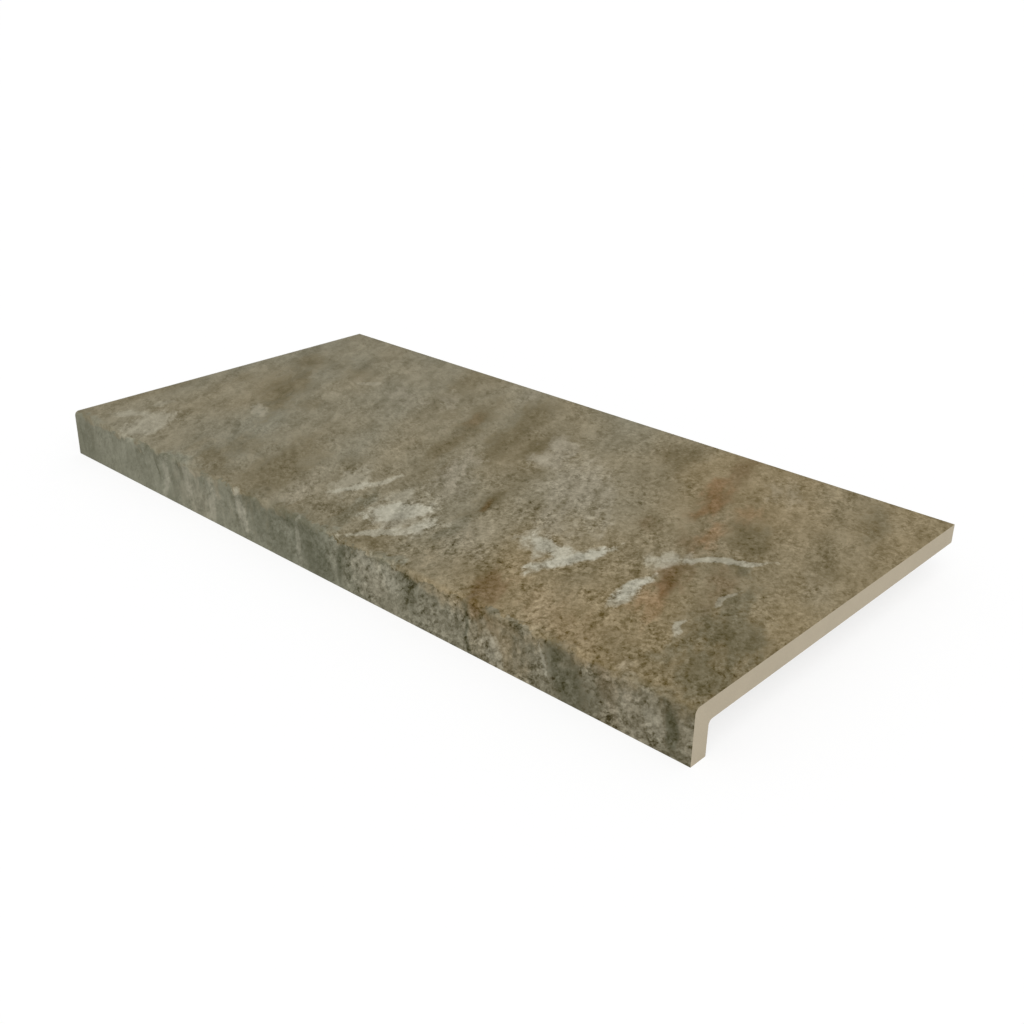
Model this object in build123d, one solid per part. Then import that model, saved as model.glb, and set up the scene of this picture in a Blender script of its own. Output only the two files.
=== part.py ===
"""Pool step tile.

One fired stoneware piece: a flat tread whose front edge turns down into a square nose with a rounded arris.
Millimetres. X runs along the nose, Y from the nose to the back edge, and Z is up.
The origin is under the middle of the tile, level with the foot of the nose.
"""

import os

from build123d import *

# Tread and nose
TREAD_LENGTH = 600.0  # along the nose, between the two cut ends
TREAD_DEPTH = 300.0  # from the face of the nose to the back edge
TREAD_THICKNESS = 13.5
NOSE_HEIGHT = 36.0  # from the walking face down to the foot of the nose
NOSE_THICKNESS = 13.5
NOSE_RADIUS = 3.5  # rounded front edge, where the walking face rolls over into the nose
HEEL_RADIUS = 3.0  # inside corner between the bed and the back of the nose
ARRIS = 0.5  # bevel that takes the sharpness off every cut edge

# Mortar key: shallow recesses pressed into the bed, the face that is laid in adhesive
KEY_SIDE = 40.0  # mouth of one square recess
KEY_DEPTH = 1.0
KEY_DRAFT = 45.0  # slope of the recess walls from upright, in degrees
KEY_RIB = 8.0  # land left between two recesses
KEY_MARGIN = 16.0  # narrowest plain border round the pattern

# Places worked out from the sizes above
FRONT = -TREAD_DEPTH / 2
BACK = TREAD_DEPTH / 2
HEEL = FRONT + NOSE_THICKNESS  # back of the nose
BED = NOSE_HEIGHT - TREAD_THICKNESS  # height of the bed above the foot
BED_FRONT = HEEL + HEEL_RADIUS  # where the flat bed starts, behind the inside corner


def tile_blank():
    """The L-shaped section drawn out along the nose, with its cut edges bevelled."""
    outline = FilletPolyline(
        (FRONT, 0),
        (FRONT, NOSE_HEIGHT),
        (BACK, NOSE_HEIGHT),
        (BACK, BED),
        (HEEL, BED),
        (HEEL, 0),
        radius=(0, NOSE_RADIUS, 0, 0, HEEL_RADIUS, 0),
        close=True,
    )
    blank = extrude(Plane.YZ * make_face(outline), TREAD_LENGTH / 2, both=True)
    left_end, *_, right_end = blank.faces().sort_by(Axis.X)
    back_edge = blank.faces().sort_by(Axis.Y)[-1]
    foot = blank.faces().sort_by(Axis.Z)[0]
    cut_edges = {edge for face in (left_end, right_end, back_edge, foot) for edge in face.edges()}
    return chamfer(cut_edges, ARRIS)


def recess_count(room):
    """How many recesses, with a rib between each two, fit in a stretch of the bed."""
    return int((room - 2 * KEY_MARGIN + KEY_RIB) // (KEY_SIDE + KEY_RIB))


def mortar_key():
    """Square recesses with sloping walls, in rows centred on the flat of the bed."""
    recess = extrude(Rectangle(KEY_SIDE, KEY_SIDE), KEY_DEPTH, taper=KEY_DRAFT)
    pitch = KEY_SIDE + KEY_RIB
    columns = recess_count(TREAD_LENGTH)
    rows = recess_count(BACK - BED_FRONT)
    bed_middle = Pos(0, (BED_FRONT + BACK) / 2, BED)
    return [bed_middle * place * recess for place in GridLocations(pitch, pitch, columns, rows)]


step_tile = tile_blank() - mortar_key()

os.makedirs("parts", exist_ok=True)
export_step(step_tile, "parts/step_tile.step")
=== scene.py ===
"""Pool step tile: a stone-look stoneware tread with a drop nose, shown on a plain white stage.

Scene lengths are metres. The marks in the printed stone are listed in millimetres, on the print laid flat.
"""

import functools
import math
from typing import NamedTuple

import bpy
from bpy.props import FloatProperty, FloatVectorProperty, IntProperty, PointerProperty
from mathutils import Matrix, Vector


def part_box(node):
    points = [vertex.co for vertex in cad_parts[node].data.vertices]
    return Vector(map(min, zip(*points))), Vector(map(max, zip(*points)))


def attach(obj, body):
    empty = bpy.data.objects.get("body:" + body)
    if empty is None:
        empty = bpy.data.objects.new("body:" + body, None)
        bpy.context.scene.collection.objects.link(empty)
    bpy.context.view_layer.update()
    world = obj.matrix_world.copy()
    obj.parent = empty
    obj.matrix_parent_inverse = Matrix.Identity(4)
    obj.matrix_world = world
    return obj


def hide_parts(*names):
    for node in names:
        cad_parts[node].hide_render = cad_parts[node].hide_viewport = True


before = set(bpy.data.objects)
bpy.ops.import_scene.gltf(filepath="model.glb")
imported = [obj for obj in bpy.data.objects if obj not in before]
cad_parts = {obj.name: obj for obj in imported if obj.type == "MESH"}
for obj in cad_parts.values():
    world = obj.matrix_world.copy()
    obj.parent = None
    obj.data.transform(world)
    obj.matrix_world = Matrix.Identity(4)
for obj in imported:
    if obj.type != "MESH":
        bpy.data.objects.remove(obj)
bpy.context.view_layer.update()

bl_info = {
    "name": "Pool step tile",
    "version": (1, 0, 0),
    "blender": (4, 5, 0),
    "location": "View3D > Sidebar > Step tile",
    "description": "Makes a stone-look pool step tile and the stage it is shown on",
    "category": "Add Mesh",
}

TILE_NODE = "step_tile"
BODY = "root"

MM = 0.001
SHEEN = 0.03  # linear light that the matt surface throws back on top of its own colour
TILE_LOW, TILE_HIGH = (Vector(corner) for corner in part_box(TILE_NODE))
TILE_SPAN = TILE_HIGH - TILE_LOW


def paint(red, green, blue):
    """A colour as it looks, 0 to 255, as the linear colour that a shader takes.

    The sheen that lies on top of it is taken off.
    """
    parts = (red / 255, green / 255, blue / 255)
    linear = (c / 12.92 if c <= 0.04045 else ((c + 0.055) / 1.055) ** 2.4 for c in parts)
    return tuple(c - SHEEN for c in linear)


class Mark(NamedTuple):
    """One oval mark in the stone, in millimetres.

    It runs from start to end and is twice half_width across.
    """

    start: tuple
    end: tuple
    half_width: float
    strength: float


class Layer(NamedTuple):
    """Marks of one colour. Their edges are soft, streaky and mottled by so many half widths.

    Calm is the share of the grain that they take away.
    """

    colour: str
    soft: float
    streaky: float
    mottled: float
    calm: float
    marks: tuple


# Marks in the stone, laid one layer over the other.
# Y runs from the back edge, 150, to the nose edge, -150, and on down the nose to its foot, -186.
LAYERS = (
    Layer("grey_nose", 0.5, 0.3, 0.6, 0, (
        Mark((-182, -152), (-140, -143), 8, 0.9),
        Mark((-262, -150), (-286, -146), 6, 0.6),
        Mark((-32, -152), (10, -148), 5, 0.7),
        Mark((52, -150), (78, -146), 6, 0.7),
    )),
    Layer("ochre", 1, 0.4, 0.5, 0, (
        Mark((112, -112), (235, -130), 24, 0.5),
        Mark((205, 110), (245, 40), 22, 0.3),
        Mark((95, -152), (190, -156), 5, 0.6),
        Mark((150, -158), (176, -184), 14, 0.5),
    )),
    Layer("band", 0.65, 0.5, 0.4, 0.1, (
        Mark((-72, 95), (-42, 28), 10, 0.8),
        Mark((-47, 35), (-30, -22), 9, 0.85),
        Mark((-48, 132), (-18, 70), 13, 0.85),
        Mark((-28, 92), (0, 10), 11, 0.9),
        Mark((2, 84), (21, 25), 8, 0.95),
        Mark((-13, 58), (-4, 20), 8, 0.8),
        Mark((-17, -2), (0, -38), 5, 0.7),
        Mark((-24, -20), (-6, -55), 7, 0.45),
        Mark((32, 45), (46, -15), 11, 0.35),
        Mark((51, -24), (58, -64), 5.5, 0.9),
        Mark((-252, 38), (-194, -40), 16, 0.8),
        Mark((-232, 8), (-200, -35), 7, 0.6),
        Mark((-118, -60), (-72, -148), 19, 0.68),
        Mark((258, -58), (294, -104), 18, 0.35),
        Mark((-142, 145), (-112, 88), 10, 0.55),
        Mark((94, 142), (113, 92), 11, 0.55),
        Mark((-158, -82), (-142, -118), 13, 0.55),
        Mark((-165, -118), (-112, -147), 13, 0.65),
        Mark((-280, 78), (-256, 52), 11, 0.55),
        Mark((-222, 88), (-208, 60), 8, 0.5),
        Mark((-286, 2), (-264, -12), 9, 0.5),
        Mark((-190, 0), (-172, -15), 9, 0.4),
        Mark((-88, 68), (-78, 48), 7, 0.4),
        Mark((-72, -55), (-45, -85), 9, 0.3),
        Mark((140, 20), (168, 4), 8, 0.45),
        Mark((168, -62), (172, -92), 6, 0.4),
        Mark((-250, 95), (-230, 60), 6, 0.35),
        Mark((200, 54), (228, 15), 12, 0.9),
        Mark((100, 85), (140, 40), 14, 0.3),
        Mark((98, -98), (122, -128), 11, 0.55),
        Mark((252, 70), (272, 18), 9, 0.35),
        Mark((238, -56), (264, -108), 11, 0.55),
        Mark((-48, -128), (-38, -150), 7, 0.5),
        Mark((-300, -25), (-294, -115), 7, 0.4),
        Mark((222, -130), (300, -138), 13, 0.4),
        Mark((30, -132), (62, -147), 8, 0.5),
    )),
    Layer("stain", 0.6, 0.3, 0.7, 0.3, (
        Mark((62, -66), (67, -114), 4, 0.35),
        Mark((-14, -84), (-2, -112), 6, 0.5),
        Mark((-8, -108), (6, -138), 8, 0.35),
        Mark((222, 2), (240, -10), 5, 0.5),
        Mark((250, -28), (259, -68), 7, 0.45),
        Mark((258, -58), (294, -104), 18, 0.4),
        Mark((258, -104), (298, -132), 16, 0.4),
        Mark((258, 140), (268, 95), 9, 0.25),
        Mark((-72, -150), (-50, -178), 9, 0.35),
        Mark((-48, -150), (-36, -190), 12, 0.4),
        Mark((-14, -148), (8, -190), 13, 0.6),
        Mark((25, -150), (25, -188), 3.5, 0.7),
        Mark((-40, -151), (16, -158), 5.5, 0.55),
        Mark((78, -152), (95, -172), 8, 0.25),
        Mark((228, -162), (238, -190), 8, 0.3),
        Mark((236, -152), (240, -172), 3, 0.25),
        Mark((272, -182), (304, -185), 5, 0.25),
        Mark((-188, -155), (-185, -174), 1.5, 0.6),
        Mark((-167, -160), (-163, -172), 3, 0.4),
        Mark((-286, -150), (-290, -188), 14, 0.3),
        Mark((137, -150), (139, -188), 1.6, 0.6),
    )),
    Layer("stain", 0.25, 0.05, 0.2, 0.6, (
        Mark((203, -150), (226, -193), 12, 0.58),
        Mark((280, -153), (288, -161), 2.5, 0.3),
        Mark((284, -158), (287, -181), 3.5, 0.62),
    )),
    Layer("rust", 0.8, 0.5, 0.6, 0.1, (
        Mark((143, 152), (160, 85), 7, 0.5),
        Mark((156, 95), (176, 34), 8, 0.65),
        Mark((180, 15), (197, -6), 8, 0.45),
        Mark((202, -22), (214, -60), 8, 0.75),
        Mark((206, -40), (217, -64), 7, 0.95),
        Mark((228, -14), (243, -52), 7, 0.5),
        Mark((129, -115), (149, -152), 9, 0.68),
        Mark((54, -40), (59, -63), 3, 0.6),
        Mark((-66, 80), (-52, 50), 6, 0.12),
        Mark((146, 14), (158, 2), 5, 0.35),
        Mark((238, -152), (248, -188), 5, 0.2),
    )),
    Layer("orange", 0.8, 0.5, 0.6, 0, (
        Mark((184, 40), (197, 10), 8, 0.5),
        Mark((162, 77), (174, 40), 6, 0.4),
        Mark((198, 18), (212, 2), 5, 0.3),
        Mark((204, -64), (226, -92), 10, 0.45),
        Mark((188, 78), (198, 55), 7, 0.4),
        Mark((150, 100), (160, 70), 6, 0.4),
        Mark((160, -120), (230, -145), 12, 0.1),
        Mark((-66, 72), (-54, 52), 6, 0.12),
    )),
    Layer("cloud", 0.8, 0.4, 0.7, 0, (
        Mark((16, 80), (50, 32), 14, 0.8),
        Mark((56, 50), (110, -10), 19, 0.65),
        Mark((-10, 2), (14, -52), 8, 0.75),
        Mark((14, -28), (34, -68), 9, 0.45),
        Mark((86, -12), (122, -58), 14, 0.55),
        Mark((-152, 72), (-122, 42), 13, 0.4),
        Mark((-76, 145), (-62, 128), 8, 0.5),
        Mark((-118, 90), (-98, 66), 7, 0.45),
        Mark((70, -80), (95, -110), 12, 0.3),
        Mark((-62, -95), (-50, -130), 8, 0.4),
        Mark((272, 12), (292, -12), 8, 0.15),
        Mark((30, -117), (37, -97), 6, 0.5),
        Mark((185, 130), (200, 105), 10, 0.3),
        Mark((-150, -150), (-122, -186), 20, 0.32),
        Mark((38, -154), (60, -184), 13, 0.3),
        Mark((254, -152), (268, -188), 8, 0.3),
    )),
    Layer("vein", 0.5, 0.25, 0.5, 0.4, (
        Mark((-274, -132), (-258, -112), 5, 0.35),
        Mark((-270, -82), (-264, -97), 5, 0.25),
        Mark((-213, -35), (-193, -52), 5, 0.35),
        Mark((-190, 55), (-180, 65), 4, 0.25),
        Mark((-48, -66), (-26, -106), 9, 0.36),
        Mark((14, -70), (30, -116), 21, 0.42),
        Mark((2, -66), (10, -98), 5, 0.4),
        Mark((44, -84), (54, -112), 9, 0.6),
        Mark((107, -59), (142, -76), 10, 0.6),
        Mark((140, -76), (142, -98), 5, 0.6),
        Mark((187, -36), (200, -15), 8, 0.5),
        Mark((200, -72), (204, -98), 4, 0.6),
        Mark((270, -158), (278, -178), 4.5, 0.22),
        Mark((-172, -152), (-176, -186), 3.5, 0.35),
        Mark((-152, -150), (-142, -172), 4, 0.35),
        Mark((-90, -152), (-76, -174), 5, 0.55),
        Mark((-118, -152), (-116, -188), 4, 0.25),
        Mark((-20, -150), (-17, -180), 2, 0.3),
        Mark((40, -150), (56, -160), 5, 0.3),
        Mark((68, -155), (78, -168), 6, 0.25),
        Mark((152, -170), (166, -186), 7, 0.5),
    )),
    Layer("vein", 0.35, 0.1, 0.25, 0.4, (
        Mark((-247, -98), (-225, -147), 15, 0.42),
        Mark((-22, -56), (-24, -86), 4, 0.45),
        Mark((-23, -76), (-35, -106), 4, 0.5),
        Mark((13, -115), (31, -78), 12, 1),
        Mark((46, -118), (52, -88), 4.5, 0.6),
        Mark((50, -108), (21, -149), 4.5, 0.6),
        Mark((141, -92), (159, -36), 6.5, 1),
        Mark((116, -62), (152, -70), 9, 0.75),
        Mark((194, -26), (241, 15), 3.8, 0.68),
        Mark((198, -54), (200, -88), 5, 1),
        Mark((245, -82), (247, -97), 2.5, 0.6),
        Mark((246, -29), (247, -56), 2, 0.45),
        Mark((193, -157), (203, -178), 1.5, 0.35),
    )),
)


def metres(name, default, description):
    """A property that holds a length in metres."""
    return FloatProperty(
        name=name, description=description, default=default, min=0, precision=5, unit="LENGTH"
    )


def position(name, default, description):
    """A property that holds a place in metres."""
    return FloatVectorProperty(
        name=name,
        description=description,
        default=default,
        size=3,
        precision=4,
        subtype="TRANSLATION",
        unit="LENGTH",
    )


def angle(name, degrees, description):
    """A property that holds an angle."""
    return FloatProperty(
        name=name, description=description, default=math.radians(degrees), subtype="ANGLE"
    )


def count(name, default, description):
    """A property that holds a whole number of like things."""
    return IntProperty(name=name, description=description, default=default, min=1)


def colour(name, default, description):
    """A property that holds a linear colour."""
    return FloatVectorProperty(
        name=name, description=description, default=default, min=0, max=1, size=3, subtype="COLOR"
    )


class StepTileSizes(bpy.types.PropertyGroup):
    """Sizes of the fired piece."""

    length: metres("Length", TILE_SPAN.x, "Along the nose, between the cut ends")
    depth: metres("Depth", TILE_SPAN.y, "From the face of the nose to the back edge")
    height: metres("Height", TILE_SPAN.z, "From the foot of the nose to the walking face")
    thickness: metres("Thickness", 13.5 * MM, "Through the tread")
    nose_thickness: metres("Nose thickness", 13.5 * MM, "Through the nose")
    nose_radius: metres("Nose radius", 3.5 * MM, "Rounded edge where the tread rolls over into the nose")
    heel_radius: metres("Heel radius", 3 * MM, "Inside corner between the bed and the back of the nose")
    arris: metres("Arris", 0.5 * MM, "Bevel along every cut edge")
    key_side: metres("Key side", 40 * MM, "Mouth of one square recess of the mortar key under the tread")
    key_rib: metres("Key rib", 8 * MM, "Land left between two recesses")
    key_depth: metres("Key depth", 1 * MM, "Depth of a recess, whose walls lean in as far as they are deep")
    key_columns: count("Key columns", 12, "Recesses along the nose")
    key_rows: count("Key rows", 5, "Recesses from the nose to the back")
    relief: metres("Relief", 0.3 * MM, "How far the stone surface dips below the flat")
    mesh_spacing: metres("Mesh spacing", 2.5 * MM, "Between two lines of the mesh that carries the relief")


class StepTileFinish(bpy.types.PropertyGroup):
    """Colours of the printed stone and of the fired body."""

    grey_ground: colour("Grey ground", paint(129, 125, 108), "Ground of the stone on the left")
    warm_ground: colour("Warm ground", paint(137, 124, 97), "Ground of the stone on the right")
    grey_nose: colour("Grey nose", paint(129, 128, 112), "Ground of the nose on the left")
    warm_nose: colour("Warm nose", paint(124, 118, 100), "Ground of the nose on the right")
    ochre: colour("Ochre", paint(142, 127, 99), "Ochre zones at the front right")
    band: colour("Band", paint(108, 99, 76), "Brown bands")
    stain: colour("Stain", paint(82, 82, 66), "Green-grey stains")
    rust: colour("Rust", paint(100, 81, 55), "Dark rust stains")
    orange: colour("Orange", paint(137, 108, 77), "Pale rust stains")
    cloud: colour("Cloud", paint(152, 145, 127), "Pale clouds in the ground")
    vein: colour("Vein", paint(174, 170, 153), "White quartz veins")
    deepest: colour("Deepest", paint(68, 63, 49), "The print gets no darker than this")
    body: colour("Body", paint(184, 173, 152), "Fired stoneware at the cut ends and underneath")


class StepTileStage(bpy.types.PropertyGroup):
    """Floor, light and camera."""

    eye: position("Eye", (0.5780, -0.5992, 0.3891), "Where the camera stands")
    aim: position("Aim", (0.0536, -0.0181, 0.02), "Where the camera looks")
    roll: angle("Roll", 1.08, "Camera's turn about its view")
    lens: FloatProperty(
        name="Lens", description="Focal length on a 36 mm sensor", default=43.32, unit="CAMERA"
    )
    sky: FloatProperty(name="Sky", description="Strength of the even light all round", default=0.62, min=0)
    sun: FloatProperty(name="Sun", description="Strength of the soft key light", default=1.57, min=0)
    sun_spread: angle("Sun spread", 60, "Width of the key light")
    sun_from: FloatVectorProperty(
        name="Sun from",
        description="Direction that the key light comes from",
        default=(0.45, -0.45, 0.77),
        size=3,
        subtype="DIRECTION",
    )
    floor_side: metres("Floor side", 30.0, "Side of the square floor")
    shadow: FloatProperty(
        name="Shadow",
        description="How much of its shadow the floor shows",
        default=0.3,
        min=0,
        max=1,
        subtype="FACTOR",
    )


# Nodes
NOISE_GAIN = 4  # brings Blender's noise, mostly between 0.25 and 0.75, to between -1 and 1


class Wire:
    """A value in a node tree. Reckoning with a number adds Math nodes."""

    def __init__(self, tree, socket):
        self.tree = tree
        self.socket = socket

    def reckon(self, operation, *values):
        """The result of one Math node."""
        return add(self.tree, "ShaderNodeMath", dict(enumerate(values)), operation=operation)

    def __add__(self, other):
        return self.reckon("ADD", self, other)

    def __sub__(self, other):
        return self.reckon("SUBTRACT", self, other)

    def __rsub__(self, other):
        return self.reckon("SUBTRACT", other, self)

    def __mul__(self, other):
        return self.reckon("MULTIPLY", self, other)

    def __truediv__(self, other):
        return self.reckon("DIVIDE", self, other)

    __radd__ = __add__
    __rmul__ = __mul__

    def most(self, other):
        """The larger of two numbers."""
        return self.reckon("MAXIMUM", self, other)

    def least(self, other):
        """The smaller of two numbers."""
        return self.reckon("MINIMUM", self, other)

    def above(self, other):
        """1 where this number is above another, and 0 elsewhere."""
        return self.reckon("GREATER_THAN", self, other)

    def size(self):
        """This number without its sign."""
        return self.reckon("ABSOLUTE", self)

    def floor(self):
        """The whole number at or below this one."""
        return self.reckon("FLOOR", self)

    def root(self):
        """The square root of this number."""
        return self.reckon("SQRT", self)

    def ease(self, low, high, to_low=0.0, to_high=1.0):
        """A smooth change from one value to another as this number goes from low to high."""
        inputs = {"Value": self, "From Min": low, "From Max": high, "To Min": to_low, "To Max": to_high}
        return add(self.tree, "ShaderNodeMapRange", inputs, interpolation_type="SMOOTHSTEP")


def feed(tree, socket, value):
    """Links a socket to a wire, or sets it to a plain value."""
    if isinstance(value, Wire):
        tree.links.new(value.socket, socket)
    else:
        socket.default_value = value


def add(tree, kind, inputs, output=0, **settings):
    """Adds a node with its settings and inputs, and returns one of its outputs."""
    node = tree.nodes.new(kind)
    for name, value in settings.items():
        setattr(node, name, value)
    for key, value in inputs.items():
        feed(tree, node.inputs[key], value)
    return Wire(tree, node.outputs[output])


def combine(tree, x=0.0, y=0.0, z=0.0):
    """A vector from its three parts."""
    return add(tree, "ShaderNodeCombineXYZ", {"X": x, "Y": y, "Z": z})


def separate(vector):
    """The three parts of a vector."""
    return [add(vector.tree, "ShaderNodeSeparateXYZ", {0: vector}, output=axis) for axis in "XYZ"]


def noise(place, grain, detail=2.0, roughness=0.5, dimensions="3D"):
    """Even noise about zero, mostly within one, whose blotches are about as wide as grain."""
    inputs = {"Vector": place, "Scale": 1 / grain, "Detail": detail, "Roughness": roughness}
    return NOISE_GAIN * (add(place.tree, "ShaderNodeTexNoise", inputs, noise_dimensions=dimensions) - 0.5)


def drift(place, grain, reach, detail=0.0):
    """A place moved about by up to about reach, in eddies as wide as grain."""
    tree = place.tree
    inputs = {"Vector": place, "Scale": 1 / grain, "Detail": detail}
    eddy = add(tree, "ShaderNodeTexNoise", inputs, output="Color", noise_dimensions="2D")
    eddy = add(tree, "ShaderNodeVectorMath", {0: eddy, 1: (0.5, 0.5, 0)}, operation="SUBTRACT")
    inputs = {0: eddy, 1: (NOISE_GAIN * reach, NOISE_GAIN * reach, 0), 2: place}
    return add(tree, "ShaderNodeVectorMath", inputs, operation="MULTIPLY_ADD")


def stretched(place, lean, along, across, origin=0.0):
    """A place in a turned frame whose unit is along one way and across the other."""
    inputs = {
        "Vector": place,
        "Location": (origin, origin, 0),
        "Rotation": (0, 0, math.radians(lean)),
        "Scale": (along, across, 1),
    }
    return add(place.tree, "ShaderNodeMapping", inputs, vector_type="TEXTURE")


def flakes(place, grain):
    """Cells about as wide as grain, each of one even tone between -1 and 1."""
    inputs = {"Vector": place, "Scale": 1 / grain}
    cells = add(place.tree, "ShaderNodeTexVoronoi", inputs, output="Color", voronoi_dimensions="2D")
    return separate(cells)[0] * 2 - 1


# Geometry of the tile
FILLET_FLATS = 7  # flats that make up each rounded corner of the section
PRINTED_FROM = 0.6  # a face that looks up or forward at least this squarely is printed
EDGE_BAND = 1 * MM  # along the cut edges the relief stays flat over this width
FADE_BAND = 9 * MM  # and reaches its full depth at this distance
SWELL_WIDTH = 55 * MM
CLEFT_WIDTH = 14 * MM
SWELL_SHARE = 0.6
CLEFT_SHARE = 0.4


def pick(tree, index, kind, values):
    """The value that stands at an index in a short list."""
    node = tree.nodes.new("GeometryNodeIndexSwitch")
    node.data_type = kind
    while len(node.index_switch_items) < len(values):
        node.index_switch_items.new()
    feed(tree, node.inputs["Index"], index)
    for place, value in enumerate(values):
        feed(tree, node.inputs[str(place)], value)
    return Wire(tree, node.outputs["Output"])


def tile_section(tree, given):
    """The L-shaped section, drawn upright in its own plane with points close enough to carry the relief."""
    front = given["Depth"] * -0.5
    back = given["Depth"] * 0.5
    heel = front + given["Nose Thickness"]
    top = given["Height"]
    bed = top - given["Thickness"]
    corners = ((front, 0.0), (front, top), (back, top), (back, bed), (heel, bed), (heel, 0.0))
    radii = (0.0, given["Nose Radius"], 0.0, 0.0, given["Heel Radius"], 0.0)
    printed = (1.0, 1.0, 0.0, 0.0, 0.0, 0.0)
    index = add(tree, "GeometryNodeInputIndex", {})
    line = add(tree, "GeometryNodeMeshLine", {"Count": len(corners)})
    place = pick(tree, index, "VECTOR", [combine(tree, *corner) for corner in corners])
    line = add(tree, "GeometryNodeSetPosition", {"Geometry": line, "Position": place})
    curve = add(tree, "GeometryNodeMeshToCurve", {"Mesh": line})
    curve = add(tree, "GeometryNodeSetSplineCyclic", {"Geometry": curve, "Cyclic": True})
    corner_values = tree.nodes.new("GeometryNodeCaptureAttribute")
    corner_values.capture_items.new("FLOAT", "Radius")
    corner_values.capture_items.new("FLOAT", "Printed")
    feed(tree, corner_values.inputs["Geometry"], curve)
    feed(tree, corner_values.inputs["Radius"], pick(tree, index, "FLOAT", radii))
    feed(tree, corner_values.inputs["Printed"], pick(tree, index, "FLOAT", printed))
    outputs = corner_values.outputs
    curve, radius, printed = (Wire(tree, outputs[name]) for name in ("Geometry", "Radius", "Printed"))
    inputs = {"Curve": curve, "Count": FILLET_FLATS, "Radius": radius}
    curve = add(tree, "GeometryNodeFilletCurve", inputs, mode="POLY")
    here = add(tree, "GeometryNodeInputPosition", {})
    next_place = tree.nodes.new("GeometryNodeFieldAtIndex")
    next_place.data_type = "FLOAT_VECTOR"
    feed(tree, next_place.inputs["Value"], here)
    feed(tree, next_place.inputs["Index"], index + 1)
    next_place = Wire(tree, next_place.outputs["Value"])
    run = add(tree, "ShaderNodeVectorMath", {0: here, 1: next_place}, output="Value", operation="DISTANCE")
    cuts = (run / given["Mesh Spacing"]).floor() * printed
    return add(tree, "GeometryNodeSubdivideCurve", {"Curve": curve, "Cuts": cuts})


def tile_blank(tree, given):
    """The section drawn out along the nose and laid so that its own axes become Y and Z."""
    half = given["Length"] * 0.5
    ends = {"Start": combine(tree, z=half * -1), "End": combine(tree, z=half)}
    path = add(tree, "GeometryNodeCurvePrimitiveLine", ends)
    lines = (given["Length"] / given["Mesh Spacing"]).floor() + 1
    path = add(tree, "GeometryNodeResampleCurve", {"Curve": path, "Count": lines})
    inputs = {"Curve": path, "Profile Curve": tile_section(tree, given), "Fill Caps": True}
    blank = add(tree, "GeometryNodeCurveToMesh", inputs)
    blank = add(tree, "GeometryNodeFlipFaces", {"Mesh": blank})
    lay = (math.pi / 2, 0, math.pi / 2)
    blank = add(tree, "GeometryNodeTransform", {"Geometry": blank, "Rotation": lay})
    return add(tree, "GeometryNodeSetMaterial", {"Geometry": blank, "Material": given["Body"]})


def mortar_key(tree, given):
    """Cutters for the square recesses under the tread, wider at the mouth than at the bottom."""
    overlap = given["Key Depth"] * 0.5
    corner = math.sqrt(0.5)  # a square's corners lie this share of its side from its middle
    mouth = given["Key Side"] + overlap * 2
    floor = given["Key Side"] - given["Key Depth"] * 2
    depth = given["Key Depth"] + overlap
    inputs = {"Vertices": 4, "Radius Bottom": mouth * corner, "Radius Top": floor * corner, "Depth": depth}
    cutter = add(tree, "GeometryNodeMeshCone", inputs)
    cutter = add(tree, "GeometryNodeSetMaterial", {"Geometry": cutter, "Material": given["Body"]})
    pitch = given["Key Side"] + given["Key Rib"]
    grid_inputs = {
        "Size X": pitch * (given["Key Columns"] - 1),
        "Size Y": pitch * (given["Key Rows"] - 1),
        "Vertices X": given["Key Columns"],
        "Vertices Y": given["Key Rows"],
    }
    grid = add(tree, "GeometryNodeMeshGrid", grid_inputs)
    bed = given["Height"] - given["Thickness"]
    bed_middle = combine(tree, y=(given["Nose Thickness"] + given["Heel Radius"]) * 0.5, z=bed - overlap)
    grid = add(tree, "GeometryNodeTransform", {"Geometry": grid, "Translation": bed_middle})
    inputs = {"Points": grid, "Instance": cutter, "Rotation": (0, 0, math.pi / 4)}
    return add(tree, "GeometryNodeInstanceOnPoints", inputs)


def is_printed(tree):
    """1 on faces that look up or forward, as the tread, the nose and the round between them do."""
    normal = add(tree, "GeometryNodeInputNormal", {})
    inputs = {0: normal, 1: (0, -1, 1)}
    squarely = add(tree, "ShaderNodeVectorMath", inputs, output="Value", operation="DOT_PRODUCT")
    return squarely.above(PRINTED_FROM)


def stone_relief(tree, given, tile):
    """Dips the printed faces a little, like cleft stone, and leaves their edges straight."""
    here = add(tree, "GeometryNodeInputPosition", {})
    x, y, z = separate(here)
    to_end = given["Length"] * 0.5 - x.size()
    to_back = given["Depth"] * 0.5 - y
    from_edge = to_end.least(to_back).least(z)
    fade = from_edge.ease(EDGE_BAND, FADE_BAND)
    swell = noise(here, SWELL_WIDTH, detail=1.0) * 0.5 + 0.5
    cleft = noise(here, CLEFT_WIDTH, detail=2.0, roughness=0.6) * 0.5 + 0.5
    dip = (swell * SWELL_SHARE + cleft * CLEFT_SHARE).most(0) * given["Relief"] * fade
    normal = add(tree, "GeometryNodeInputNormal", {})
    offset = add(tree, "ShaderNodeVectorMath", {0: normal, "Scale": dip * -1}, operation="SCALE")
    inputs = {"Geometry": tile, "Selection": is_printed(tree), "Offset": offset}
    return add(tree, "GeometryNodeSetPosition", inputs)


TREE_INPUTS = {
    "Length": "length",
    "Depth": "depth",
    "Height": "height",
    "Thickness": "thickness",
    "Nose Thickness": "nose_thickness",
    "Nose Radius": "nose_radius",
    "Heel Radius": "heel_radius",
    "Key Side": "key_side",
    "Key Rib": "key_rib",
    "Key Depth": "key_depth",
    "Key Columns": "key_columns",
    "Key Rows": "key_rows",
    "Relief": "relief",
    "Mesh Spacing": "mesh_spacing",
}


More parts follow.
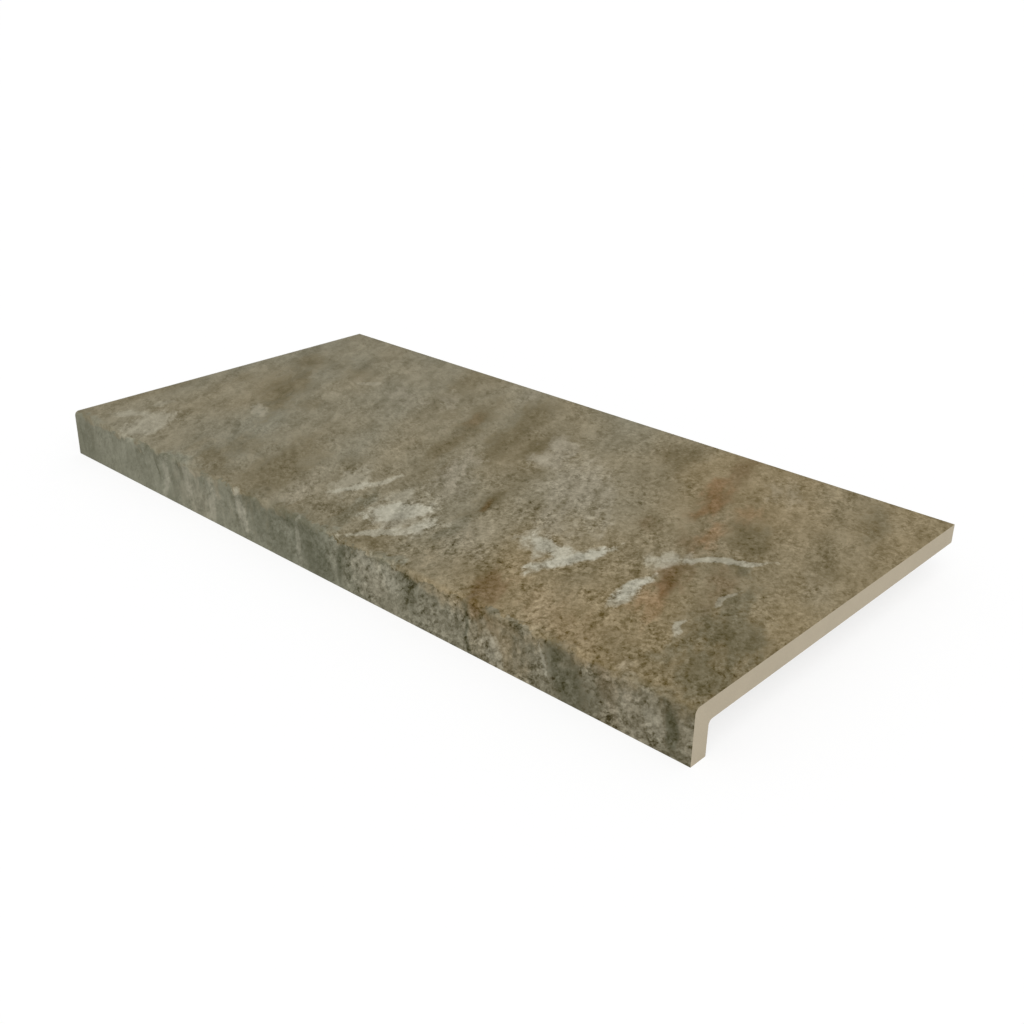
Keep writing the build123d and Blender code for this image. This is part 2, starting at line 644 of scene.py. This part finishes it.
def tile_tree():
    """The node tree that makes the whole tile from its named sizes and its two materials."""
    tree = bpy.data.node_groups.new("Step tile", "GeometryNodeTree")
    for name in TREE_INPUTS:
        kind = "NodeSocketInt" if name in ("Key Columns", "Key Rows") else "NodeSocketFloat"
        tree.interface.new_socket(name, in_out="INPUT", socket_type=kind)
    for name in ("Body", "Print"):
        tree.interface.new_socket(name, in_out="INPUT", socket_type="NodeSocketMaterial")
    tree.interface.new_socket("Tile", in_out="OUTPUT", socket_type="NodeSocketGeometry")
    source = tree.nodes.new("NodeGroupInput")
    given = {socket.name: Wire(tree, socket) for socket in source.outputs if socket.name}
    inputs = {"Mesh 1": tile_blank(tree, given), "Mesh 2": mortar_key(tree, given)}
    tile = add(tree, "GeometryNodeMeshBoolean", inputs, operation="DIFFERENCE", solver="MANIFOLD")
    tile = stone_relief(tree, given, tile)
    tile = add(tree, "GeometryNodeRealizeInstances", {"Geometry": tile})
    inputs = {"Geometry": tile, "Selection": is_printed(tree), "Material": given["Print"]}
    tile = add(tree, "GeometryNodeSetMaterial", inputs)
    result = tree.nodes.new("NodeGroupOutput")
    feed(tree, result.inputs["Tile"], tile)
    return tree


def set_tree_inputs(modifier, values):
    """Sets a modifier's inputs by the identifiers of the tree's sockets."""
    for item in modifier.node_group.interface.items_tree:
        if item.item_type == "SOCKET" and item.in_out == "INPUT":
            modifier[item.identifier] = values[item.name]


def make_plain(piece):
    """Turns what a piece's modifiers make into its own plain mesh."""
    evaluated = piece.evaluated_get(bpy.context.evaluated_depsgraph_get())
    mesh = bpy.data.meshes.new_from_object(evaluated)
    carrier = piece.data
    piece.modifiers.clear()
    piece.data = mesh
    bpy.data.meshes.remove(carrier)
    mesh.name = piece.name


# Materials


def clear_tree(owner):
    """The node tree of a material or a world, with nothing in it yet."""
    owner.use_nodes = True
    owner.node_tree.nodes.clear()
    return owner.node_tree


def new_material(name):
    """A new material, its node tree and the Principled shader in it."""
    material = bpy.data.materials.new(name)
    tree = clear_tree(material)
    shader = tree.nodes.new("ShaderNodeBsdfPrincipled")
    output = tree.nodes.new("ShaderNodeOutputMaterial")
    tree.links.new(shader.outputs["BSDF"], output.inputs["Surface"])
    return material, tree, shader


def mixed(kind, factor, first, second):
    """Two colours or two vectors mixed by a factor."""
    tree = factor.tree
    node = tree.nodes.new("ShaderNodeMix")
    node.data_type = {"Color": "RGBA", "Vector": "VECTOR"}[kind]
    feed(tree, node.inputs["Factor"], factor)
    inputs = {socket.identifier: socket for socket in node.inputs}
    feed(tree, inputs[f"A_{kind}"], first)
    feed(tree, inputs[f"B_{kind}"], second)
    outputs = {socket.identifier: socket for socket in node.outputs}
    return Wire(tree, outputs[f"Result_{kind}"])


def tint(factor, first, second):
    """Two colours mixed by a factor, each a wire or a plain colour."""
    first, second = (value if isinstance(value, Wire) else (*value, 1) for value in (first, second))
    return mixed("Color", factor, first, second)


def blend(factor, first, second):
    """A number that goes from first to second as a factor goes from 0 to 1."""
    return first + (second - first) * factor


def mark_group():
    """A node group that says how fully one oval mark covers a place.

    Along and Across are the mark's two axes, as axis_of gives them.
    """
    tree = bpy.data.node_groups.new("Stone mark", "ShaderNodeTree")
    for name in ("Place", "Along", "Across"):
        tree.interface.new_socket(name, in_out="INPUT", socket_type="NodeSocketVector")
    for name in ("Ragged", "Soft", "Strength"):
        tree.interface.new_socket(name, in_out="INPUT", socket_type="NodeSocketFloat")
    tree.interface.new_socket("Cover", in_out="OUTPUT", socket_type="NodeSocketFloat")
    source = tree.nodes.new("NodeGroupInput")
    given = {socket.name: Wire(tree, socket) for socket in source.outputs if socket.name}
    ways = []
    for name in ("Along", "Across"):
        inputs = {0: given["Place"], 1: given[name]}
        ways.append(add(tree, "ShaderNodeVectorMath", inputs, output="Value", operation="DOT_PRODUCT"))
    reach = add(tree, "ShaderNodeVectorMath", {0: combine(tree, *ways)}, output="Value", operation="LENGTH")
    inside = 1 - reach + given["Ragged"]
    cover = inside.ease(given["Soft"] * -1, given["Soft"]) * given["Strength"]
    result = tree.nodes.new("NodeGroupOutput")
    feed(tree, result.inputs["Cover"], cover)
    return tree


def axis_of(middle, way, half):
    """A vector whose product with a place says how many halves the place lies from the middle.

    The place has 1 as its Z, so that the vector can take the middle away.
    """
    way = way / half
    return (way.x, way.y, -middle.dot(way))


def covered(place, ragged, group, layer):
    """How fully the marks of a layer cover a place."""
    covers = []
    for mark in layer.marks:
        start = Vector(mark.start)
        end = Vector(mark.end)
        middle = (start + end) / 2
        run = end - start
        inputs = {
            "Place": place,
            "Along": axis_of(middle, run.normalized(), run.length / 2),
            "Across": axis_of(middle, run.normalized().orthogonal(), mark.half_width),
            "Ragged": ragged,
            "Soft": layer.soft,
            "Strength": mark.strength,
        }
        covers.append(add(place.tree, "ShaderNodeGroup", inputs, node_tree=group))
    return functools.reduce(Wire.most, covers)


# The printed stone, in millimetres and in shares of lightness
FOLD = -151.5  # where the stone of the nose starts, a little below the edge
FOLD_REACH = 8  # how far that line wanders
LEFT_WARMTH = 0.25  # share of the warm ground on the left
MIDDLE_WARMTH = 0.15  # what the middle adds to it
RIGHT_WARMTH = 0.55  # what the right adds on top
HUE_REACH = 0.3  # how far the share wanders on the tread
NOSE_HUE_REACH = 0.25  # and on the nose
EVEN_LIGHT = 1.01  # before any grain
BLOTCH_LIGHT = 0.08
SLAB_LIGHT = 0.05
CHIP_LIGHT = 0.07
CRUMB_LIGHT = 0.1
DUST_LIGHT = 0.18
SWEEP_LIGHT = 0.08
STREAK_LIGHT = 0.08
EDGE_SHADE = 0.2  # taken away just under the fold
CRUMBLE = 0.9  # how many half widths the grit moves the edge of a mark
PIT_HEIGHT = 0.2  # of the bump's own distance
LIFT = 0.11  # colours are scaled about this far below black, so that dark grain keeps its hue


class StonePlace(NamedTuple):
    """Where a point lies on the print laid flat, and how far it belongs to the nose.

    Flat is the place with 1 as its Z, and wander is the same place moved about a little.
    """

    x: Wire
    y: Wire
    flat: Wire
    wander: Wire
    below_fold: Wire
    nose: Wire


class StoneGrain(NamedTuple):
    """The parts of the stone's grain, each about zero."""

    blotches: Wire
    slabs: Wire
    grit: Wire


def stone_place(tree, height):
    """The place on the print laid flat. The stone of the nose starts along a ragged line."""
    here = add(tree, "ShaderNodeTexCoord", {}, output="Object")
    x, y, z = (part * (1 / MM) for part in separate(here))
    flat_y = y + z - height / MM
    flat = combine(tree, x, flat_y, 1.0)
    wander = drift(flat, grain=20, reach=2.5, detail=1.0)
    ragged = noise(flat, grain=20, detail=4.0, roughness=0.65, dimensions="2D") * FOLD_REACH
    below_fold = ragged + FOLD - flat_y
    # The change is sharp along most of the nose and soft towards the right end
    soft = x.ease(170, 260, 1.5, 8)
    nose = below_fold.ease(soft * -1, soft)
    return StonePlace(x, flat_y, flat, wander, below_fold, nose)


def stone_grain(coarse_place, fine_place):
    """The grain in one pair of frames: one for what is coarse and one for what is fine."""
    blotches = noise(coarse_place, grain=26, detail=2.0, roughness=0.9, dimensions="2D")
    torn = drift(drift(coarse_place, grain=14, reach=4), grain=4, reach=1.2)
    slabs = flakes(torn, grain=18) * SLAB_LIGHT + flakes(torn, grain=9) * SLAB_LIGHT
    dust = noise(fine_place, grain=4.5, detail=2.0, roughness=0.85, dimensions="2D")
    crumbled = drift(fine_place, grain=3, reach=0.5)
    flaked = flakes(crumbled, grain=5) * CHIP_LIGHT + flakes(crumbled, grain=2.2) * CRUMB_LIGHT
    return StoneGrain(blotches, slabs, flaked + dust * DUST_LIGHT)


def zoned_grain(place):
    """The grain, which leans its own way on the left, on the right and on the nose."""
    flat = place.flat
    left = stone_grain(
        stretched(flat, lean=-42, along=1.35, across=0.72),
        stretched(flat, lean=-36, along=1.4, across=0.75),
    )
    right = stone_grain(
        stretched(flat, lean=-68, along=1.5, across=0.68, origin=900),
        stretched(flat, lean=-58, along=1.12, across=0.88, origin=900),
    )
    nose_frame = stretched(flat, lean=40, along=1.3, across=0.9)
    front = stone_grain(nose_frame, nose_frame)
    side = place.x.ease(-120, 140)
    # Two unlike grains laid half and half are weaker than either, by this much
    evened = ((1 - side) * (1 - side) + side * side).root()
    tread = [blend(side, *pair) / evened for pair in zip(left, right)]
    return StoneGrain(*(blend(place.nose, *pair) for pair in zip(tread, front)))


def stone_streak(place):
    """Long streaks along the stone's bedding, which is steeper on the nose."""
    on_tread = stretched(place.flat, lean=-62, along=40, across=9)
    on_nose = stretched(place.flat, lean=-84, along=26, across=6)
    bedding = mixed("Vector", place.nose, on_tread, on_nose)
    return noise(bedding, grain=1, detail=2.0, roughness=0.5, dimensions="2D")


def stone_ground(place, finish):
    """The ground colour, grey on the left and warm on the right."""
    x = place.x
    wide = stretched(place.wander, lean=-60, along=170, across=75)
    hue = noise(wide, grain=1, detail=2.0, roughness=0.4, dimensions="2D")
    across = x.ease(50, 165) * RIGHT_WARMTH + x.ease(-130, -30) * MIDDLE_WARMTH
    warmth = across + hue * HUE_REACH + LEFT_WARMTH
    nose_warmth = x.ease(-40, 220) + hue * NOSE_HUE_REACH
    on_tread = tint(warmth, finish.grey_ground, finish.warm_ground)
    on_nose = tint(nose_warmth, finish.grey_nose, finish.warm_nose)
    return tint(place.nose, on_tread, on_nose)


def marked_stone(place, grain, streak, finish):
    """The ground with all its marks, and the share of the grain that the marks take away."""
    stone = stone_ground(place, finish)
    group = mark_group()
    calms = []
    for layer in LAYERS:
        ragged = streak * layer.streaky + grain.blotches * layer.mottled + grain.grit * CRUMBLE
        cover = covered(place.wander, ragged, group, layer)
        stone = tint(cover, stone, getattr(finish, layer.colour))
        calms.append(cover * layer.calm)
    return stone, functools.reduce(Wire.most, calms)


def stone_shade(place, grain, streak, calm):
    """How light the stone is, about 1. The grain is stronger on the right and towards the front."""
    x = place.x
    tread_grain = x.ease(-260, 160, 0.38, 0.98) * place.y.ease(-120, 110, 1.42, 0.88)
    nose_grain = x.ease(-180, 220, 0.38, 1.95)
    patchy = noise(place.wander, grain=30, dimensions="2D").ease(-0.5, 0.5, 0.75, 1.25)
    speckle = grain.grit * patchy * blend(place.nose, tread_grain, nose_grain)
    clouding = blend(place.nose, x.ease(-200, 150, 1.1, 0.92), x.ease(0, 200, 0.65, 0.4))
    clouds = (grain.blotches * BLOTCH_LIGHT + grain.slabs) * clouding
    bands = stretched(place.wander, lean=-60, along=75, across=20)
    sweep = noise(bands, grain=1, detail=3.0, roughness=0.6, dimensions="2D")
    broken = noise(place.flat, grain=24, dimensions="2D").ease(-0.3, 0.4)
    under_edge = place.nose * place.below_fold.ease(9, 0) * broken * x.ease(200, 290, 1, 0.2)
    light = clouds + sweep * SWEEP_LIGHT + streak * STREAK_LIGHT
    return light - under_edge * EDGE_SHADE + speckle * (1 - calm) + EVEN_LIGHT


def shaded(stone, shade, deepest):
    """The stone's colour made lighter or darker, and kept from going black."""
    tree = stone.tree
    lift = (LIFT, LIFT, LIFT)
    lifted = add(tree, "ShaderNodeVectorMath", {0: stone, 1: lift}, operation="ADD")
    scaled = add(tree, "ShaderNodeVectorMath", {0: lifted, "Scale": shade}, operation="SCALE")
    lowered = add(tree, "ShaderNodeVectorMath", {0: scaled, 1: lift}, operation="SUBTRACT")
    return add(tree, "ShaderNodeVectorMath", {0: lowered, 1: deepest}, operation="MAXIMUM")


def stone_print(finish, sizes):
    """The matt stone-look print: mottled ground, bands, stains and quartz veins under a fine grain."""
    material, tree, shader = new_material("stone_print")
    place = stone_place(tree, sizes.height)
    grain = zoned_grain(place)
    streak = stone_streak(place)
    stone, calm = marked_stone(place, grain, streak, finish)
    shade = stone_shade(place, grain, streak, calm)
    feed(tree, shader.inputs["Base Color"], shaded(stone, shade, finish.deepest))
    shader.inputs["Roughness"].default_value = 0.75
    shader.inputs["Specular IOR Level"].default_value = 0.2
    pits = noise(place.flat, grain=2.5, detail=1.0, dimensions="2D") * PIT_HEIGHT
    bump = add(tree, "ShaderNodeBump", {"Strength": 0.5, "Distance": 1 * MM, "Height": pits})
    feed(tree, shader.inputs["Normal"], bump)
    return material


# The fired body
CLAY_SPECKLE = 0.9 * MM
CLAY_CLOUD = 22 * MM
CLAY_SPECKLE_LIGHT = 0.035
CLAY_CLOUD_LIGHT = 0.03


def fired_body(finish):
    """The pale stoneware body, with the fine speckle of the fired clay."""
    material, tree, shader = new_material("fired_body")
    place = add(tree, "ShaderNodeTexCoord", {}, output="Object")
    speckle = noise(place, CLAY_SPECKLE, detail=2.0)
    cloud = noise(place, CLAY_CLOUD, detail=2.0)
    shade = speckle * CLAY_SPECKLE_LIGHT + cloud * CLAY_CLOUD_LIGHT + 1
    inputs = {0: finish.body, "Scale": shade}
    feed(tree, shader.inputs["Base Color"], add(tree, "ShaderNodeVectorMath", inputs, operation="SCALE"))
    shader.inputs["Roughness"].default_value = 0.8
    shader.inputs["Specular IOR Level"].default_value = 0.3
    bump = add(tree, "ShaderNodeBump", {"Strength": 0.3, "Distance": 0.1 * MM, "Height": speckle})
    feed(tree, shader.inputs["Normal"], bump)
    return material


# The stage
FLOOR_GREY = (0.85, 0.85, 0.85, 1)
WHITE = (1, 1, 1, 1)
FLOOR_GLOW = 1.07  # strength of the glow that the eye sees
SENSOR_WIDTH = 36  # millimetres


def seen_ray(tree):
    """1 on rays that show a surface to the eye, straight or mirrored or through glass, and 0 on others."""
    node = tree.nodes.new("ShaderNodeLightPath")
    rays = [Wire(tree, node.outputs[f"Is {kind} Ray"]) for kind in ("Camera", "Glossy", "Transmission")]
    return functools.reduce(Wire.most, rays)


def white_floor(stage):
    """A white floor that glows to the eye but still shows a share of the shadow on it."""
    material = bpy.data.materials.new("white_floor")
    tree = clear_tree(material)
    matt = add(tree, "ShaderNodeBsdfDiffuse", {"Color": FLOOR_GREY})
    glow = add(tree, "ShaderNodeEmission", {"Color": WHITE, "Strength": FLOOR_GLOW})
    share = seen_ray(tree) * (1 - stage.shadow)
    surface = add(tree, "ShaderNodeMixShader", {0: share, 1: matt, 2: glow})
    output = tree.nodes.new("ShaderNodeOutputMaterial")
    feed(tree, output.inputs["Surface"], surface)
    return material


def white_sky(stage):
    """A world that lights evenly and looks white."""
    world = bpy.data.worlds.new("white_sky")
    tree = clear_tree(world)
    strength = seen_ray(tree) * (1 - stage.sky) + stage.sky
    surface = add(tree, "ShaderNodeBackground", {"Color": WHITE, "Strength": strength})
    output = tree.nodes.new("ShaderNodeOutputWorld")
    feed(tree, output.inputs["Surface"], surface)
    return world


def put_in_scene(name, data):
    """A new object in the scene's own collection."""
    piece = bpy.data.objects.new(name, data)
    bpy.context.scene.collection.objects.link(piece)
    return piece


# Operators and panel
CUT_ANGLE = math.radians(60)  # edges sharper than this are cut edges, and get the arris
SMOOTH_ANGLE = math.radians(32)  # flatter edges than this are shaded smooth


class MakeStepTile(bpy.types.Operator):
    """Makes the fired tile, with its printed stone faces and the mortar key underneath"""

    bl_idname = "step_tile.make_tile"
    bl_label = "Make step tile"

    def execute(self, context):
        sizes = context.scene.step_tile_sizes
        finish = context.scene.step_tile_finish
        tile = put_in_scene("stone_step_tile", bpy.data.meshes.new("carrier"))
        values = {name: getattr(sizes, key) for name, key in TREE_INPUTS.items()}
        values["Body"] = fired_body(finish)
        values["Print"] = stone_print(finish, sizes)
        modifier = tile.modifiers.new("Step tile", "NODES")
        modifier.node_group = tile_tree()
        set_tree_inputs(modifier, values)
        arris = tile.modifiers.new("Arris", "BEVEL")
        arris.width = sizes.arris
        arris.segments = 1
        arris.limit_method = "ANGLE"
        arris.angle_limit = CUT_ANGLE
        arris.material = 0
        make_plain(tile)
        tile.data.shade_smooth()
        tile.data.set_sharp_from_angle(angle=SMOOTH_ANGLE)
        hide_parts(TILE_NODE)
        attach(tile, BODY)
        return {"FINISHED"}


class SetStepTileStage(bpy.types.Operator):
    """Sets up the white floor, the light and the camera"""

    bl_idname = "step_tile.set_stage"
    bl_label = "Set stage"

    def execute(self, context):
        stage = context.scene.step_tile_stage
        half = stage.floor_side / 2
        mesh = bpy.data.meshes.new("floor")
        corners = [(-half, -half, 0), (half, -half, 0), (half, half, 0), (-half, half, 0)]
        mesh.from_pydata(corners, [], [(0, 1, 2, 3)])
        mesh.materials.append(white_floor(stage))
        put_in_scene("floor", mesh)
        context.scene.world = white_sky(stage)
        sun = bpy.data.lights.new("key", "SUN")
        sun.energy = stage.sun
        sun.angle = stage.sun_spread
        lamp = put_in_scene("key", sun)
        lamp.rotation_euler = Vector(stage.sun_from).to_track_quat("Z", "Y").to_euler()
        camera = bpy.data.cameras.new("camera")
        camera.sensor_width = SENSOR_WIDTH
        camera.lens = stage.lens
        view = put_in_scene("camera", camera)
        eye = Vector(stage.eye)
        turn = (Vector(stage.aim) - eye).to_track_quat("-Z", "Y").to_matrix().to_4x4()
        view.matrix_world = Matrix.Translation(eye) @ turn @ Matrix.Rotation(stage.roll, 4, "Z")
        context.scene.camera = view
        context.scene.view_settings.view_transform = "Standard"
        return {"FINISHED"}


GROUPS = (("Sizes", "step_tile_sizes"), ("Finish", "step_tile_finish"), ("Stage", "step_tile_stage"))


class StepTilePanel(bpy.types.Panel):
    """Lists what can be changed and the two operators"""

    bl_idname = "VIEW3D_PT_step_tile"
    bl_label = "Pool step tile"
    bl_space_type = "VIEW_3D"
    bl_region_type = "UI"
    bl_category = "Step tile"

    def draw(self, context):
        layout = self.layout
        for title, key in GROUPS:
            group = getattr(context.scene, key)
            box = layout.box()
            box.label(text=title)
            for name in group.bl_rna.properties.keys():
                if name not in ("rna_type", "name"):
                    box.prop(group, name)
        layout.operator(MakeStepTile.bl_idname)
        layout.operator(SetStepTileStage.bl_idname)


CLASSES = (StepTileSizes, StepTileFinish, StepTileStage, MakeStepTile, SetStepTileStage, StepTilePanel)


def register():
    """Adds the classes and the scene's groups of properties."""
    for item in CLASSES:
        bpy.utils.register_class(item)
    bpy.types.Scene.step_tile_sizes = PointerProperty(type=StepTileSizes)
    bpy.types.Scene.step_tile_finish = PointerProperty(type=StepTileFinish)
    bpy.types.Scene.step_tile_stage = PointerProperty(type=StepTileStage)


def unregister():
    """Takes away what register added."""
    for _, key in GROUPS:
        delattr(bpy.types.Scene, key)
    for item in reversed(CLASSES):
        bpy.utils.unregister_class(item)


def main():
    """Makes the tile and the stage."""
    register()
    bpy.ops.step_tile.make_tile()
    bpy.ops.step_tile.set_stage()


if __name__ == "__main__":
    main()
